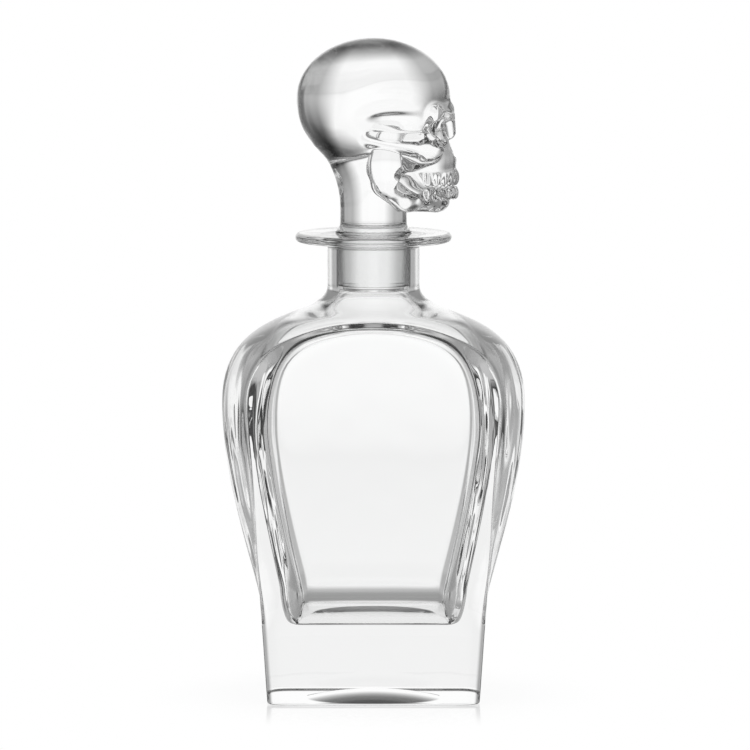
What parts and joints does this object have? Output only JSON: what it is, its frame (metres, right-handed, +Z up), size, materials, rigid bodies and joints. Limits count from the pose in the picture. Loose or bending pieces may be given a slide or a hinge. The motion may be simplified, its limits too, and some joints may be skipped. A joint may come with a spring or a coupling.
{
  "type": "liquor decanter",
  "caption": "Heavy clear-glass liquor decanter with flat arched panels, bulging sides, a short neck with a wide lip and a lift-out glass stopper shaped as a skull.",
  "frame": {"origin": "middle of the foot, on the surface that the decanter stands on", "axes": "+Z up through the neck; the flat panels face -Y and +Y; the skull looks along +X"},
  "size_m": [0.122, 0.068, 0.2652],
  "materials": {
    "bottle_glass": "clear, polished",
    "clear_seal": "clear silicone, satin",
    "stopper_glass": "clear, fire polished"
  },
  "bodies": {
    "bottle": {"bottle": "bottle_glass"},
    "seal": {"stopper_seal": "clear_seal"},
    "stopper": {"skull_stopper": "stopper_glass"}
  },
  "joints": [
    {"name": "stopper_lift", "type": "slide", "parent": "bottle", "child": "seal", "axis": [0, 0, 1], "range_m": [0, 0.05]},
    {"name": "skull_turn", "type": "hinge", "parent": "seal", "child": "stopper", "pos_m": [0, 0, 0.187], "axis": [0, 0, 1], "continuous": true}
  ]
}
